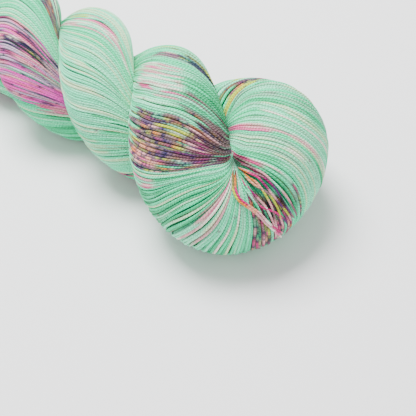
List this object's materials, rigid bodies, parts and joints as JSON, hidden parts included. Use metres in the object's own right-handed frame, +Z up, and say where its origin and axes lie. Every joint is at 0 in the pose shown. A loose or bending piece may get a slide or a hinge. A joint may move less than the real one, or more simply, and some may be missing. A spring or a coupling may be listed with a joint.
{
  "type": "skein of yarn",
  "caption": "Twisted skein of fine speckled hand-dyed yarn in mint, cream, pink and purple, lying on its side, with a loose yarn end.",
  "frame": {"origin": "centre of the bounding box's base, on the surface the skein lies on", "axes": "+X along the skein towards its fold end, +Z up"},
  "size_m": [0.2564, 0.0952, 0.0669],
  "materials": {
    "yarn": "matte"
  },
  "bodies": {
    "root": {"hank": "yarn", "loose_end": "yarn"}
  },
  "joints": []
}
